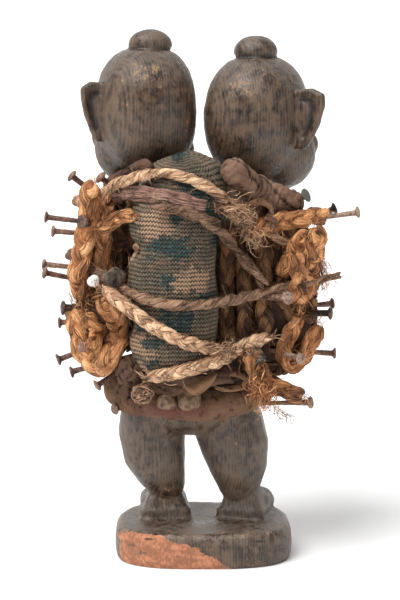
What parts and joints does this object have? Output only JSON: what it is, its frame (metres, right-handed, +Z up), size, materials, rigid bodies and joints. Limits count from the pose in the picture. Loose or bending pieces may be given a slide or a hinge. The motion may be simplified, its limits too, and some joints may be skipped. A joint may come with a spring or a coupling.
{
  "type": "nail fetish figure",
  "caption": "Standing carved wood figure with two heads on an oval plinth, wrapped in plaited raffia, rope and cloth, with a knitted bundle on its back and iron nails.",
  "frame": {"origin": "middle of the plinth's flat underside, where the figure stands", "axes": "+Z up along the figure, +Y the way the figure faces, so its back and the bundle are on -Y, +X to the right of someone looking at its back"},
  "size_m": [0.2711, 0.2029, 0.4498],
  "materials": {
    "wood": "dark handled patina, slightly glossy, worn to brown on the crowns, with a bare terracotta red patch on the plinth",
    "iron": "rusty forged iron, dull",
    "raffia": "plaited raffia, dry, orange brown, with dark gaps and loose fibres",
    "rope": "hand-twisted plant-fibre cord, dull, dusty",
    "knit": "hand-knitted yarn in ridges, grey-brown with beige and teal areas",
    "cloth": "old cotton cloth, rolled and creased, dark brown",
    "shell": "dry seed pods and horn, worn smooth"
  },
  "bodies": {
    "root": {"carved_figure": "wood", "fibre_ball": "shell", "frayed_tassel": "raffia", "front_left_braid": "raffia", "front_right_braid": "raffia", "horn_tip": "shell", "knitted_bundle": "knit", "left_cross_braid": "raffia", "left_inner_hank": "raffia", "left_loop_braid": "raffia", "left_loop_inner_braid": "raffia", "left_outer_hank": "raffia", "left_raffia_wadding": "raffia", "left_shoulder_cloth": "cloth", "nail_chest_left": "iron", "nail_chest_right": "iron", "nail_left_arm_back": "iron", "nail_left_arm_low": "iron", "nail_left_arm_pale": "iron", "nail_left_arm_side": "iron", "nail_left_arm_top": "iron", "nail_left_elbow": "iron", "nail_left_hip_back": "iron", "nail_left_hip_low": "iron", "nail_left_hip_side": "iron", "nail_left_inside_loop": "iron", "nail_left_shoulder_high": "iron", "nail_left_shoulder_inner": "iron", "nail_left_shoulder_side": "iron", "nail_left_thigh": "iron", "nail_left_waist_thick": "iron", "nail_right_elbow": "iron", "nail_right_hip_side": "iron", "nail_right_loop": "iron", "nail_right_rib": "iron", "nail_right_shoulder_big": "iron", "nail_right_shoulder_front": "iron", "nail_right_shoulder_side": "iron", "nail_right_thigh": "iron", "nail_right_waist_long": "iron", "pink_yarn_band": "rope", "right_bottom_braid": "raffia", "right_column_inner": "raffia", "right_column_middle": "raffia", "right_column_outer": "raffia", "right_diagonal_braid": "raffia", "right_knot_loop": "raffia", "right_middle_braid": "raffia", "right_outer_braid": "raffia", "right_raffia_wadding": "raffia", "right_shoulder_cloth": "cloth", "right_upper_braid": "raffia", "rope_crossing": "rope", "rope_diagonal": "rope", "rope_lower": "rope", "rope_middle": "rope", "rope_top": "rope", "seed_pod": "shell", "waist_cloth": "cloth", "waist_fold": "cloth"}
  },
  "joints": []
}
